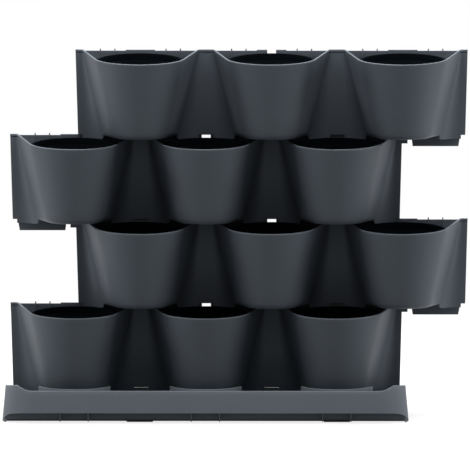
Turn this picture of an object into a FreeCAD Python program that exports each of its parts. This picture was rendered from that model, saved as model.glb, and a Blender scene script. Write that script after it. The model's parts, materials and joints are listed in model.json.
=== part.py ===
"""Stacking wall planter: four staggered rows of three cups with inner pots, on a drip tray.

Sizes are in millimetres. X runs along the rows, -Y is the front and +Z is up. The origin is
on the floor, in the middle of the whole planter. Each row is one thin moulding: flat valley
panels with three round cups standing out of them, closed by a flat back panel, so that a
narrow channel runs behind the valleys. The row above stands on the saddles (the valley tops)
of the row below, half a cup further along, with a comb that drops into that channel.

Inside the functions a place is told by x, by u (forward of the valley face) and by h (down
from the row's rim), because that is how the moulding repeats.
"""
import FreeCAD, Part
import math
import os

V = FreeCAD.Vector

# Layout of the stack.
ROWS = 4
CUPS = 3
PITCH = 200.0            # cup to cup along a row
ROW_PITCH = 130.5        # rim to rim between rows, and seat to rim inside one row
STAGGER = PITCH / 2      # odd rows stand half a cup to the right of even rows
END_GAP = 1.0            # each row ends this far short of the half pitch

# The row moulding.
WALL = 2.6
BACK_DEPTH = 12.0        # valley face to wall
END_DRAFT = 3.8          # each end runs in by this much from rim to lip
CUP_RADIUS = 70.3        # outside, at the rim
CUP_TAPER = math.radians(11.6)
CUP_AXIS = 73.5          # cup axis, forward of the valley face
FLANK_FLARE = math.radians(13.0)
CREASE_RADIUS = 5.0      # flank to valley panel
FLOOR_RISE = 10.2        # the floor's underside rises by this much from the seat to the cup's front
FOOT_BEVEL = 5.0
CUP_FACETS = 14          # flat steps round the front of a cup
LIP_DROP = 7.5           # valley panels run on below the seat by this much
LIP_NOTCH_WIDTH = 22.4
LIP_NOTCH_ROOF = 0.8     # the notch stops this far below the seat
SADDLE_GROOVE_DEPTH = 0.8
SADDLE_GROOVE_HEIGHT = 1.4
SADDLE_GROOVE_DROP = 3.4

# Back panel: hanger plates, locating teeth and the hose notch.
BACK_TOP = 4.5           # the back panel stops this far below the rim
PLATE_WIDTH = 44.8
PLATE_RISE = 1.3
PLATE_PROUD = 0.8
PLATE_HEIGHT = 34.0
TOOTH_PLACES = (39.0, 61.0)  # either side of each cup's centre
TOOTH_WIDTH = 1.8
TOOTH_RISE = 2.2
HOSE_NOTCH_WIDTH = 13.4
HOSE_NOTCH_DEPTH = 6.4
SCREW_HOLE_RADIUS = 2.75
SCREW_HOLE_DROP = 18.0

# Comb under the seat, and drainage.
COMB_INNER = 14.5        # from the cup's centre to the comb's near end
COMB_OUTER = 84.6        # and to its far end
COMB_DROP = 18.2
COMB_END_SLOPE = 2.4
COMB_SET_BACK = 0.6      # behind the valley panel's rear face
TONGUE_WIDTH = 14.6
TONGUE_DROP = 15.3
DRAIN_RADIUS = 4.5
DRAIN_FACETS = 6
DRAIN_SIDE = 30.0
DRAIN_FORWARD = 33.0

# Inner pot.
POT_GAP = 1.0            # rim of the pot to the cup wall
POT_DROP = 6.2           # pot rim below the cup rim
POT_WALL = 1.4
POT_LIP_HEIGHT = 5.0
POT_LIP_PROUD = 1.2
POT_STEP_DROP = 10.5     # stacking step below the pot rim
POT_STEP = 2.6
POT_LIFT = 1.7           # the seat ribs hold the pot this far above the floor at the cup's front
POT_FOOT_GAP = 0.5       # foot of the pot to the bevel round the cup's floor
POT_HOLE_RADIUS = 4.0
POT_HOLE_CIRCLE = 27.0
POT_HOLES = 3
POT_FACETS = 16          # flat steps round a pot
SEAT_RIB_INNER = 12.0
SEAT_RIB_SHORT = 5.0     # the seat ribs end this far inside the pot's foot

# Drip tray. Its height is set from the comb of the bottom row up, and its depth from the cups.
TRAY_FLOOR_GAP = 8.7     # foot of the comb to the tray's floor
PLINTH_HEIGHT = 15.0
FASCIA_HEIGHT = 34.0
TRAY_BACK_LOW = 3.5      # the sides fall to this far below the seat, behind the wall face
TRAY_OVERHANG = 6.0      # wider than a row at each end
TRAY_SPLAY = 4.5         # each end runs out by this much from top to floor
TRAY_FORWARD = 3.2       # fascia's top edge, forward of the cups' rims
TRAY_LEAN = 3.0          # the fascia's foot stands forward of its top edge
TRAY_CORNER = 40.0
TRAY_FACETS = 6          # flat steps round a corner and up to an ear
EAR_RISE = 9.3
EAR_LENGTH = 14.5
EAR_SWEEP = 24.0         # length of the curve from ear to fascia
EAR_BOW = 1.6            # above 1 the curve is hollow
PLINTH_SET_BACK = 14.0   # behind the fascia's top edge
END_FOOT_WIDTH = 25.0
GUSSET_SIDE = 21.5
GUSSET_THICK = 1.6
COLLAR_GAP = 3.5         # cup to collar
COLLAR_LOW = 1.2         # below the fascia's top edge
COLLAR_ANGLE = 72.0
COLLAR_FACETS = 8
POST_WIDTH = 21.0
POST_RIB = 14.0
PAD_LENGTH = 40.0
PAD_DEPTH = 18.0
PAD_THICK = 1.5
PAD_SPREAD = 150.0       # pads stand this far either side of the stack's middle

# Worked-out sizes. Depths are told from the rim of a row, the bottom row's for the tray.
DRAFT = math.tan(CUP_TAPER)
SEAT = ROW_PITCH
LIP_FOOT = SEAT + LIP_DROP
ROW_WIDTH = CUPS * PITCH - 2 * END_GAP
CHANNEL_BACK = WALL - BACK_DEPTH
CUP_WALL = WALL / math.cos(CUP_TAPER)
FLOOR_FRONT = SEAT - FLOOR_RISE
FLOOR_FALL = FLOOR_RISE / (CUP_AXIS + CUP_RADIUS - FLOOR_FRONT * DRAFT)
INNER_BEVEL = FOOT_BEVEL - WALL / 2
FLOOR_RADIUS = CUP_RADIUS - CUP_WALL - INNER_BEVEL - (FLOOR_FRONT - WALL) * DRAFT
POT_BASE = FLOOR_FRONT - WALL - POT_LIFT
POT_FOOT_RADIUS = FLOOR_RADIUS + POT_LIFT - POT_FOOT_GAP
SEAT_RIB_OUTER = POT_FOOT_RADIUS - SEAT_RIB_SHORT
PLINTH_FOOT = SEAT + COMB_DROP + TRAY_FLOOR_GAP + WALL
FLOOR_DEPTH = PLINTH_FOOT + PAD_THICK
FASCIA_FOOT = PLINTH_FOOT - PLINTH_HEIGHT
TRAY_TOP = FASCIA_FOOT - FASCIA_HEIGHT
TRAY_BACK_TOP = SEAT + TRAY_BACK_LOW
TRAY_FRONT = CUP_AXIS + CUP_RADIUS + TRAY_FORWARD
PLINTH_FRONT = TRAY_FRONT - PLINTH_SET_BACK
COLLAR_TOP = TRAY_TOP + COLLAR_LOW
COLLAR_RADIUS = CUP_RADIUS - COLLAR_TOP * DRAFT + COLLAR_GAP + WALL
CUP_PLACES = [(i - (CUPS - 1) / 2) * PITCH for i in range(CUPS)]
VALLEY_PLACES = [x - PITCH / 2 for x in CUP_PLACES] + [CUP_PLACES[-1] + PITCH / 2]
TRAY_HALF_TOP = ROW_WIDTH / 2 + TRAY_OVERHANG
TRAY_HALF_FOOT = TRAY_HALF_TOP + TRAY_SPLAY
TRAY_FOOT_FRONT = TRAY_FRONT + TRAY_LEAN
X_TRAY = (TRAY_HALF_FOOT - STAGGER - ROW_WIDTH / 2) / 2
Y_VALLEY = (TRAY_FOOT_FRONT - BACK_DEPTH) / 2


def at(x, u, h):
    """Point x along the row, u forward of the valley face and h below the rim."""
    return V(x, -u, -h)


def block(x0, x1, u0, u1, h0, h1):
    """Box between two x, two u and two h."""
    return Part.makeBox(x1 - x0, u1 - u0, h1 - h0, at(x0, u1, h1))


def plate(outline, u0, u1):
    """Flat plate from an outline of (x, h) points, between two u."""
    wire = Part.makePolygon([at(x, u0, h) for x, h in outline + outline[:1]])
    return Part.Face(wire).extrude(V(0, u0 - u1, 0))


def circle(middle, radius, facets):
    """Level ring of points about a middle."""
    turns = [2 * math.pi * i / facets for i in range(facets)]
    return [middle + V(radius * math.cos(t), radius * math.sin(t), 0) for t in turns]


def prism(middle, radius, height, facets):
    """Upright prism from its middle point up."""
    return skin([circle(middle, radius, facets), circle(middle + V(0, 0, height), radius, facets)])


def cup_radius(h, inset):
    """Radius of the cup at depth h, inset from the outside."""
    return CUP_RADIUS - inset - h * DRAFT


def skin(rings):
    """Closed solid of flat faces over rings of points, with the first and last rings capped."""
    faces = []
    for upper, lower in zip(rings, rings[1:]):
        for i in range(len(upper)):
            j = (i + 1) % len(upper)
            corners = [upper[i], upper[j], lower[j], lower[i]]
            faces.append(Part.Face(Part.makePolygon(corners + corners[:1])))
    for ring in (rings[0], rings[-1]):
        faces.append(Part.Face(Part.makePolygon(ring + ring[:1])))
    shell = Part.makeShell(faces)
    shell.sewShape()
    return Part.makeSolid(Part.Shell(shell.Faces))


def cup_ring(x, h, inset, back, fall=0.0):
    """Section of a cup: round front in flat steps, with flanks that flare back to u = back.

    The section plane is at depth h where u = 0 and rises forward by fall per millimetre.
    """
    mouth = CUP_RADIUS - inset
    half_turn = math.pi / 2 - FLANK_FLARE
    h_back = h - fall * back
    reach = flank_reach(h_back, inset, back)
    points = [at(x - reach, back, h_back)]
    for i in range(CUP_FACETS + 1):
        turn = half_turn * (2 * i / CUP_FACETS - 1)
        depth = (h - fall * (CUP_AXIS + mouth * math.cos(turn))) / (1 - fall * DRAFT * math.cos(turn))
        r = cup_radius(depth, inset)
        points.append(at(x + r * math.sin(turn), CUP_AXIS + r * math.cos(turn), depth))
    points.append(at(x + reach, back, h_back))
    return points


def cup_solid(x, inset, back, top, rise, bevel):
    """Tapered cup from depth top to a floor that falls to the back, with its foot bevelled."""
    floor = SEAT - rise
    return skin([cup_ring(x, top, inset, back), cup_ring(x, floor - bevel, inset, back, FLOOR_FALL),
                 cup_ring(x, floor, inset + bevel, back, FLOOR_FALL)])


def flank_reach(h, inset, back):
    """Half width of a cup at depth h where its flank comes to u = back."""
    r = cup_radius(h, inset)
    ahead = CUP_AXIS + r * math.sin(FLANK_FLARE)
    return r * math.cos(FLANK_FLARE) + (ahead - back) * math.tan(FLANK_FLARE)


def crease(x, side):
    """Hollow fillet down one side of a cup, from the rim to where the foot is bevelled."""
    bite = 0.05
    run = V(-side * DRAFT / math.cos(FLANK_FLARE), 0, -1).normalize()
    forward = V(-side * math.sin(FLANK_FLARE), -math.cos(FLANK_FLARE), 0)
    panel = V(0, -1, 0)
    flank = forward.cross(run).normalize()
    if flank.x * side < 0:
        flank = flank * -1
    both = panel + flank
    start = at(x + side * flank_reach(-WALL, 0, 0), 0, -WALL)
    centre = start + both * ((CREASE_RADIUS - bite) / (1 + panel.dot(flank)))
    inner = start - both * (WALL / 4)
    on_flank = centre - flank * CREASE_RADIUS
    on_panel = centre - panel * CREASE_RADIUS
    bend = centre - both * (CREASE_RADIUS / both.Length)
    wire = Part.makePolygon([inner, on_flank, bend, on_panel, inner])
    strip = Part.Face(wire).extrude(run * (SEAT + WALL))
    return strip.common(block(x - PITCH, x + PITCH, -WALL, 2 * CREASE_RADIUS, 0, SEAT - 2 * FOOT_BEVEL))


def under_cup(x):
    """Space below one cup's floor, where the row below has its saddle."""
    half = flank_reach(SEAT, 0, 0)
    return block(x - half, x + half, -WALL - BACK_DEPTH, WALL, SEAT, LIP_FOOT + WALL)


def end_half(h):
    """Half width of the moulding at depth h."""
    return ROW_WIDTH / 2 - END_DRAFT * h / LIP_FOOT


def drafted_slab(inset, u0, u1, h0, h1):
    """Slab across the row that follows the drafted ends, between two u and two h."""
    outline = [(-end_half(h0) + inset, h0), (end_half(h0) - inset, h0),
               (end_half(h1) - inset, h1), (-end_half(h1) + inset, h1)]
    return plate(outline, u0, u1)


def comb(x):
    """Two comb plates and the tongue that hang below one cup."""
    u1 = -WALL - COMB_SET_BACK
    u0 = u1 - WALL
    top = SEAT - WALL / 2
    foot = SEAT + COMB_DROP
    solids = []
    for side in (-1, 1):
        near = x + side * COMB_INNER
        far = x + side * COMB_OUTER
        lean = side * COMB_END_SLOPE
        outline = [(near, top), (far, top), (far - lean, foot), (near + lean / 2, foot)]
        solids.append(plate(outline, u0, u1))
    solids.append(block(x - TONGUE_WIDTH / 2, x + TONGUE_WIDTH / 2, u0, u1, top, SEAT + TONGUE_DROP))
    return solids


def back_features(x):
    """Hanger plate and locating teeth on the back panel behind one cup."""
    half = PLATE_WIDTH / 2
    top = BACK_TOP - PLATE_RISE
    solids = [block(x - half, x + half, -BACK_DEPTH, CHANNEL_BACK + PLATE_PROUD, top, top + PLATE_HEIGHT)]
    for place in TOOTH_PLACES:
        for side in (-1, 1):
            left = x + side * place - TOOTH_WIDTH / 2
            solids.append(block(left, left + TOOTH_WIDTH, -BACK_DEPTH, CHANNEL_BACK,
                                BACK_TOP - TOOTH_RISE, BACK_TOP + WALL))
    return solids


def seat_ribs(x):
    """Three ribs on the sloped cup floor whose level tops carry the inner pot."""
    solids = []
    for turn in (90, 210, 330):
        slant = math.sin(math.radians(turn))
        rear = CUP_AXIS - max(slant * SEAT_RIB_INNER, slant * SEAT_RIB_OUTER)
        foot = SEAT - WALL - FLOOR_FALL * rear + WALL / 8
        rib = Part.makeBox(SEAT_RIB_OUTER - SEAT_RIB_INNER, WALL, foot - POT_BASE)
        rib.translate(V(SEAT_RIB_INNER, -WALL / 2, 0))
        rib.rotate(V(0, 0, 0), V(0, 0, 1), turn)
        rib.translate(at(x, CUP_AXIS, foot))
        solids.append(rib)
    return solids


def planter_row():
    """One row moulding, with its rim at z = 0 and its valley face at y = 0."""
    body = drafted_slab(0, -BACK_DEPTH, 0, 0, SEAT)
    lips = drafted_slab(0, -WALL, 0, SEAT - WALL, LIP_FOOT)
    lips = lips.cut([under_cup(x) for x in CUP_PLACES])
    cups = [cup_solid(x, 0, 0, 0, 0, FOOT_BEVEL) for x in CUP_PLACES]
    creases = [crease(x, side) for x in CUP_PLACES for side in (-1, 1)]
    body = body.fuse(cups + lips.Solids + creases).removeSplitter()

    cavities = [cup_solid(x, CUP_WALL, CHANNEL_BACK, -WALL, WALL, INNER_BEVEL) for x in CUP_PLACES]
    channel = drafted_slab(WALL, CHANNEL_BACK, -WALL, -WALL, SEAT - WALL)
    back_trim = block(-ROW_WIDTH, ROW_WIDTH, -2 * BACK_DEPTH, -WALL, -WALL, BACK_TOP)
    end_trim = block(-ROW_WIDTH, ROW_WIDTH, CHANNEL_BACK, -WALL, -WALL, COMB_DROP + WALL)
    body = body.cut(cavities + [channel, back_trim, end_trim])

    extras = []
    for x in CUP_PLACES:
        extras += back_features(x) + comb(x) + seat_ribs(x)
    body = body.fuse(extras)

    cuts = []
    for x in VALLEY_PLACES:
        half = LIP_NOTCH_WIDTH / 2
        cuts.append(block(x - half, x + half, -WALL * 1.1, WALL, SEAT + LIP_NOTCH_ROOF, LIP_FOOT + WALL))
        cuts.append(block(x - half, x + half, -SADDLE_GROOVE_DEPTH, WALL, SADDLE_GROOVE_DROP,
                          SADDLE_GROOVE_DROP + SADDLE_GROOVE_HEIGHT))
    plate_top = BACK_TOP - PLATE_RISE
    cuts.append(block(-HOSE_NOTCH_WIDTH / 2, HOSE_NOTCH_WIDTH / 2, -2 * BACK_DEPTH, -WALL,
                      -WALL, plate_top + HOSE_NOTCH_DEPTH))
    for x in (CUP_PLACES[0], CUP_PLACES[-1]):
        cuts.append(Part.makeCylinder(SCREW_HOLE_RADIUS, BACK_DEPTH,
                                      at(x, -WALL, SCREW_HOLE_DROP), V(0, 1, 0)))
    for x in CUP_PLACES:
        for side in (-1, 1):
            middle = at(x + side * DRAIN_SIDE, DRAIN_FORWARD, SEAT + WALL)
            cuts.append(prism(middle, DRAIN_RADIUS, 6 * WALL, DRAIN_FACETS))
    return body.cut(cuts).removeSplitter()


def inner_pot():
    """Round pot with a lip, a stacking step and drain holes, its axis on z and rim at z = 0."""
    rim = cup_radius(POT_DROP, CUP_WALL) - POT_GAP
    lip_foot = rim - POT_LIP_HEIGHT * DRAFT
    neck = lip_foot - POT_LIP_PROUD
    step = neck - POT_STEP_DROP * DRAFT / 2
    deep = POT_BASE - POT_DROP
    outer = [(POT_FOOT_RADIUS, -deep),
             (step - POT_STEP, -POT_STEP_DROP - POT_STEP), (step, -POT_STEP_DROP),
             (neck, -POT_LIP_HEIGHT), (lip_foot, -POT_LIP_HEIGHT), (rim, 0)]
    inner = [(neck - POT_WALL, POT_WALL), (neck - POT_WALL, 0), (step - POT_WALL, -POT_STEP_DROP + POT_WALL / 2),
             (step - POT_STEP - POT_WALL, -POT_STEP_DROP - POT_STEP + POT_WALL / 2),
             (POT_FOOT_RADIUS - POT_WALL, POT_WALL - deep)]
    body = skin([circle(V(0, 0, z), r, POT_FACETS) for r, z in outer])
    cuts = [skin([circle(V(0, 0, z), r, POT_FACETS) for r, z in inner])]
    for i in range(POT_HOLES):
        turn = 2 * math.pi * i / POT_HOLES
        place = V(POT_HOLE_CIRCLE * math.cos(turn), POT_HOLE_CIRCLE * math.sin(turn), -deep - POT_WALL)
        cuts.append(prism(place, POT_HOLE_RADIUS, 3 * POT_WALL, DRAIN_FACETS))
    return body.cut(cuts)


def tray_front(h):
    """How far forward the fascia stands at depth h."""
    return TRAY_FRONT + TRAY_LEAN * (h - TRAY_TOP) / FASCIA_HEIGHT


def tray_ring(h, inset):
    """Level section of the tray: square at the back, round at the two front corners."""
    half = TRAY_HALF_TOP + TRAY_SPLAY * (h - TRAY_TOP) / (FLOOR_DEPTH - TRAY_TOP) - inset
    front = tray_front(h) - inset
    back = -BACK_DEPTH + inset
    r = TRAY_CORNER - inset
    corner = []
    for i in range(TRAY_FACETS + 1):
        turn = math.pi / 2 * i / TRAY_FACETS
        corner.append((half - r + r * math.cos(turn), front - r + r * math.sin(turn)))
    right = [(half, back)] + corner
    left = [(-x, u) for x, u in reversed(right)]
    return [at(x, u, h) for x, u in right + left]


def ear_cutter():
    """Everything above the fascia's top edge, which sweeps up to an ear at each end."""
    ear_start = TRAY_HALF_TOP - EAR_LENGTH
    ear_top = TRAY_TOP - EAR_RISE
    sky = ear_top - FLOOR_DEPTH
    right = []
    for i in range(TRAY_FACETS + 1):
        share = i / TRAY_FACETS
        right.append((ear_start - EAR_SWEEP * (1 - share), TRAY_TOP - EAR_RISE * share ** EAR_BOW))
    right.append((ear_start, sky))
    left = [(-x, h) for x, h in reversed(right)]
    front = TRAY_FOOT_FRONT + WALL
    return plate(right + left, -TRAY_CORNER, front)


def slope_cutter():
    """Everything above the tray's sides, which fall from the ears to the low back wall."""
    reach = TRAY_HALF_FOOT + WALL
    ear_top = TRAY_TOP - EAR_RISE
    front = TRAY_FOOT_FRONT + WALL
    knee = TRAY_FRONT - TRAY_CORNER
    points = [at(-reach, front, ear_top), at(-reach, knee, ear_top + WALL),
              at(-reach, -2 * BACK_DEPTH, TRAY_BACK_TOP), at(-reach, -2 * BACK_DEPTH, 0),
              at(-reach, front, 0)]
    return Part.Face(Part.makePolygon(points + points[:1])).extrude(V(2 * reach, 0, 0))


def collar(x):
    """Part ring that stands round the front of one cup's foot."""
    outer = []
    inner = []
    for i in range(COLLAR_FACETS + 1):
        turn = math.radians(COLLAR_ANGLE) * (2 * i / COLLAR_FACETS - 1)
        for r, side in ((COLLAR_RADIUS, outer), (COLLAR_RADIUS - WALL, inner)):
            side.append(at(x + r * math.sin(turn), CUP_AXIS + r * math.cos(turn), PLINTH_FOOT - WALL / 2))
    points = outer + inner[::-1]
    face = Part.Face(Part.makePolygon(points + points[:1]))
    return face.extrude(V(0, 0, PLINTH_FOOT - WALL / 2 - COLLAR_TOP))


def drip_tray():
    """Trough with a flared front, end feet, collars for the cups and posts that carry the stack."""
    top = TRAY_TOP - EAR_RISE - WALL
    body = skin([tray_ring(top, 0), tray_ring(FLOOR_DEPTH, 0)])
    kick_half = TRAY_HALF_FOOT - END_FOOT_WIDTH
    front = tray_front(FLOOR_DEPTH) + WALL
    below = FLOOR_DEPTH + WALL
    kick = block(-kick_half, kick_half, PLINTH_FRONT, front, FASCIA_FOOT, below)
    under = block(-kick_half, kick_half, -2 * BACK_DEPTH, PLINTH_FRONT + WALL, PLINTH_FOOT, below)
    floor = PLINTH_FOOT - WALL
    hollow = skin([tray_ring(top - WALL, WALL), tray_ring(floor, WALL)])
    step = block(-kick_half - WALL, kick_half + WALL, PLINTH_FRONT - WALL, front, FASCIA_FOOT - WALL, below)
    body = body.cut([kick, under, hollow.cut(step), ear_cutter(), slope_cutter()])

    extras = []
    for x in CUP_PLACES:
        extras.append(collar(x))
        half = POST_WIDTH / 2
        extras.append(block(x - half, x + half, -WALL, WALL / 2, SEAT, PLINTH_FOOT - WALL / 2))
        extras.append(block(x - WALL / 2, x + WALL / 2, 0, POST_RIB, SEAT, PLINTH_FOOT - WALL / 2))
        for side in (-1, 1):
            left = x + side * GUSSET_SIDE - GUSSET_THICK / 2
            inside = PLINTH_FRONT - WALL / 2
            points = [at(left, inside, FASCIA_FOOT - WALL / 2),
                      at(left, TRAY_FRONT - WALL, FASCIA_FOOT - WALL / 2),
                      at(left, PLINTH_FRONT + WALL, PLINTH_FOOT), at(left, inside, PLINTH_FOOT)]
            face = Part.Face(Part.makePolygon(points + points[:1]))
            extras.append(face.extrude(V(GUSSET_THICK, 0, 0)))
    return body.fuse(extras).removeSplitter()


def foot_pads():
    """Four flat pads under the tray, spread evenly about the middle of the whole stack."""
    solids = []
    for side in (-1, 1):
        left = STAGGER / 2 + side * PAD_SPREAD - PAD_LENGTH / 2
        for front in (PLINTH_FRONT, PAD_DEPTH - BACK_DEPTH):
            solids.append(block(left, left + PAD_LENGTH, front - PAD_DEPTH, front, PLINTH_FOOT, FLOOR_DEPTH))
    return Part.makeCompound(solids)


def placed(shape, x, u, h):
    """Copy of a shape moved from its own origin to a place in the bottom row's terms."""
    copy = shape.copy()
    copy.translate(V(X_TRAY + x, Y_VALLEY - u, FLOOR_DEPTH - h))
    return copy


def build():
    """All the pieces by name."""
    row = planter_row()
    pot = inner_pot()
    pieces = {"drip_tray": placed(drip_tray(), 0, 0, 0), "foot_pads": placed(foot_pads(), 0, 0, 0)}
    for n in range(1, ROWS + 1):
        above = ROWS - n
        shift = STAGGER * (above % 2)
        lift = above * ROW_PITCH
        pieces[f"planter_row_{n}"] = placed(row, shift, 0, -lift)
        for name, x in zip(("left", "middle", "right"), CUP_PLACES):
            pieces[f"inner_pot_{n}_{name}"] = placed(pot, shift + x, CUP_AXIS, POT_DROP - lift)
    return pieces


os.makedirs("parts", exist_ok=True)
for node, shape in build().items():
    shape.exportStep(f"parts/{node}.step")
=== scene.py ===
"""Stacking wall planter, dressed for its photograph.

Four anthracite row mouldings with black inner pots stand on one drip tray. The sizes held by
the classes are millimetres, as on a maker's drawing. Inside a class a place is told by x along
the row, u forward of the valley face and h down from the row's rim. The meshes are metres.
"""
import json
import logging
import math
from dataclasses import dataclass
from enum import Enum
from typing import Any, Optional, Sequence

import bmesh
import bpy
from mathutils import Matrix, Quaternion, Vector

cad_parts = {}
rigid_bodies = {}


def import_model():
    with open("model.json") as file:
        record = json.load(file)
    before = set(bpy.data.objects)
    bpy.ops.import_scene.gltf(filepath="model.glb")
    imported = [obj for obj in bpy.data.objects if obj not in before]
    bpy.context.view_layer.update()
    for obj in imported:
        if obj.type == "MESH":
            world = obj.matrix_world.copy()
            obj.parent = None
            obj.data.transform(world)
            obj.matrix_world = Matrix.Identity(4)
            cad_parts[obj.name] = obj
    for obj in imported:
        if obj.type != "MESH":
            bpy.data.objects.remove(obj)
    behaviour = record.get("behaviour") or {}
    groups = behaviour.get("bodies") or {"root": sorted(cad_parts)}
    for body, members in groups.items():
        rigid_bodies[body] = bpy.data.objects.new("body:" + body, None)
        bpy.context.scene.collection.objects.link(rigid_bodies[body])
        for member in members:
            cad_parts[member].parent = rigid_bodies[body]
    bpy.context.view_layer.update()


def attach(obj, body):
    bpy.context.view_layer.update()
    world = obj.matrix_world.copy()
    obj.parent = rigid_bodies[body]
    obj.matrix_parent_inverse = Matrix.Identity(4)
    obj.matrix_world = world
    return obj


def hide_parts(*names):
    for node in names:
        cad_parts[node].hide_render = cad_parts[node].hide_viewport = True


LOG = logging.getLogger("planter")
MM = 0.001
WHITE = "#ffffff"
QUARTER_TURN = math.pi / 2

# How meshes are made; the lengths are millimetres.
WELD = 0.002            # points nearer to each other than this become one
HAIR = 0.05             # keeps two faces out of one plane where plates meet
SMOOTH_BELOW = 38.0     # edges that bend by fewer degrees are shaded smooth
EDGE_STEPS = 2          # divisions of a plate's rounded edge
FLAT_SHARE = 0.05       # a point this share of the edge's radius from a plate's face is on the face
HOLE_STEPS = 24

# Sizes that more than one piece takes, in millimetres.
PITCH = 200.0           # cup to cup along a row
SEAT = 130.5            # from a row's rim down to its seat, and so from row to row
CUP_AXIS = 73.5         # cup axis, forward of the valley face
CUP_TAPER = math.radians(11.6)
WALL = 2.6
BACK_DEPTH = 12.0       # valley face to the wall of the house
FLOOR = 161.5           # from the bottom row's rim down to the floor
PLINTH_FRONT = 133.0
PLINTH_FOOT = 160.0

Flat = tuple[float, float]
Spot = tuple[float, float, float]


def linear(code: str) -> tuple[float, float, float, float]:
    """Turn an sRGB hex colour into linear light.

    Args:
        code: six hex digits, with or without a leading hash.

    Returns:
        Red, green, blue and an alpha of 1.
    """
    digits = code.lstrip("#")
    parts = [int(digits[i:i + 2], 16) / 255 for i in (0, 2, 4)]
    red, green, blue = [p / 12.92 if p <= 0.04045 else ((p + 0.055) / 1.055) ** 2.4 for p in parts]
    return (red, green, blue, 1.0)


def fresh_tree(owner: bpy.types.ID) -> bpy.types.NodeTree:
    """Give a material or a world an empty node tree.

    Args:
        owner: the material or world.

    Returns:
        Its node tree.
    """
    owner.use_nodes = True
    owner.node_tree.nodes.clear()
    return owner.node_tree


def add_node(tree: bpy.types.NodeTree, kind: str, inputs: Optional[dict[Any, Any]] = None,
             **settings: Any) -> bpy.types.Node:
    """Add a node with its settings, its values and its links.

    Args:
        tree: the node tree it goes into.
        kind: the node's type name.
        inputs: for each input, by name or number, an output to link from or a plain value.
        settings: the node's own settings by name.

    Returns:
        The new node.
    """
    node = tree.nodes.new(kind)
    for name, value in settings.items():
        setattr(node, name, value)
    for name, value in (inputs or {}).items():
        if isinstance(value, bpy.types.NodeSocket):
            tree.links.new(value, node.inputs[name])
        else:
            node.inputs[name].default_value = value
    return node


def rectangle(a: Flat, b: Flat) -> list[Flat]:
    """Corners of a rectangle, in order, from its reach along two axes."""
    return [(a[0], b[0]), (a[1], b[0]), (a[1], b[1]), (a[0], b[1])]


def circle(middle: Flat, radius: float, steps: int) -> list[Flat]:
    """Points round a circle."""
    turns = [2 * math.pi * i / steps for i in range(steps)]
    return [(middle[0] + radius * math.cos(t), middle[1] + radius * math.sin(t)) for t in turns]


def ramp(value: float, end: float, length: float) -> float:
    """Share of a stretch that is behind a value, from 0 where it starts to 1 at its end."""
    return min(max((value - end + length) / length, 0.0), 1.0)


class Plane(Enum):
    """Which way a flat plate faces: its outline's two axes, then its thickness."""

    UPRIGHT = "x h u"
    LEVEL = "x u h"
    END = "u h x"


class Place(Enum):
    """Where a cup stands in its row, by pitches from the middle."""

    LEFT = -1
    MIDDLE = 0
    RIGHT = 1


class Zone(Enum):
    """Stretch of a row's front wall that a column of the wall belongs to."""

    FLAT = "valley panel"
    CREASE = "hollow fillet beside a cup"
    FLANK = "straight side of a cup"
    FRONT = "round front of a cup"


@dataclass(frozen=True)
class MouldedPlastic:
    """Injection-moulded plastic with a spark-eroded, slightly uneven skin.

    The tool's fine grain breaks up the gloss, and flow in the mould leaves slow cloudy changes
    of tone and gloss.
    """

    name: str
    colour: str
    cloud_colour: str
    roughness: float
    gloss_change: float
    grain_mm: float     # drawn coarser than the real grain, so that it shows at all
    grain_strength: float
    cloud_mm: float = 70.0
    ior: float = 1.49
    shine: float = 0.3
    cloud_span: Flat = (0.3, 0.7)
    cloud_detail: float = 3.0
    grain_detail: float = 2.0

    def material(self) -> bpy.types.Material:
        """Build the node material.

        Returns:
            The material, named for the plastic.
        """
        mat = bpy.data.materials.new(self.name)
        tree = fresh_tree(mat)
        place = add_node(tree, "ShaderNodeTexCoord").outputs["Object"]
        cloud = add_node(tree, "ShaderNodeTexNoise",
                         {"Vector": place, "Scale": 1 / (self.cloud_mm * MM), "Detail": self.cloud_detail})
        tone = add_node(tree, "ShaderNodeMix",
                        {"Factor": cloud.outputs["Fac"], "A": linear(self.colour),
                         "B": linear(self.cloud_colour)}, data_type="RGBA")
        gloss = add_node(tree, "ShaderNodeMapRange",
                         {"Value": cloud.outputs["Fac"], "From Min": self.cloud_span[0],
                          "From Max": self.cloud_span[1], "To Min": self.roughness - self.gloss_change,
                          "To Max": self.roughness + self.gloss_change})
        grain = add_node(tree, "ShaderNodeTexNoise",
                         {"Vector": place, "Scale": 1 / (self.grain_mm * MM), "Detail": self.grain_detail})
        bump = add_node(tree, "ShaderNodeBump",
                        {"Height": grain.outputs["Fac"], "Strength": self.grain_strength,
                         "Distance": self.grain_mm * MM})
        shader = add_node(tree, "ShaderNodeBsdfPrincipled",
                          {"Base Color": tone.outputs["Result"], "Roughness": gloss.outputs["Result"],
                           "Normal": bump.outputs["Normal"], "IOR": self.ior,
                           "Specular IOR Level": self.shine})
        add_node(tree, "ShaderNodeOutputMaterial", {"Surface": shader.outputs["BSDF"]})
        return mat


# Polypropylene coloured through with anthracite: a satin skin that lights up softly at the flanks.
ANTHRACITE_POLYPROPYLENE = MouldedPlastic(
    "moulded_anthracite_polypropylene", "#474d54", "#4d535a",
    roughness=0.54, gloss_change=0.05, grain_mm=1.4, grain_strength=0.10, shine=0.2)
# The same plastic in the tray, painted a shade lighter than the rows: painted light that stands in for the
# brighter light on the tray.
PAINTED_LIGHT_POLYPROPYLENE = MouldedPlastic(
    "moulded_lighter_anthracite_polypropylene", "#60666d", "#666c73",
    roughness=0.52, gloss_change=0.05, grain_mm=1.4, grain_strength=0.10, shine=0.2)
# Thin moulded nursery pot, full of carbon black: it swallows light, so its inside stays almost black.
BLACK_POLYPROPYLENE = MouldedPlastic(
    "moulded_black_polypropylene", "#080b0e", "#0c0f12",
    roughness=0.55, gloss_change=0.06, grain_mm=1.6, grain_strength=0.12, ior=1.46, shine=0.0)
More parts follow.
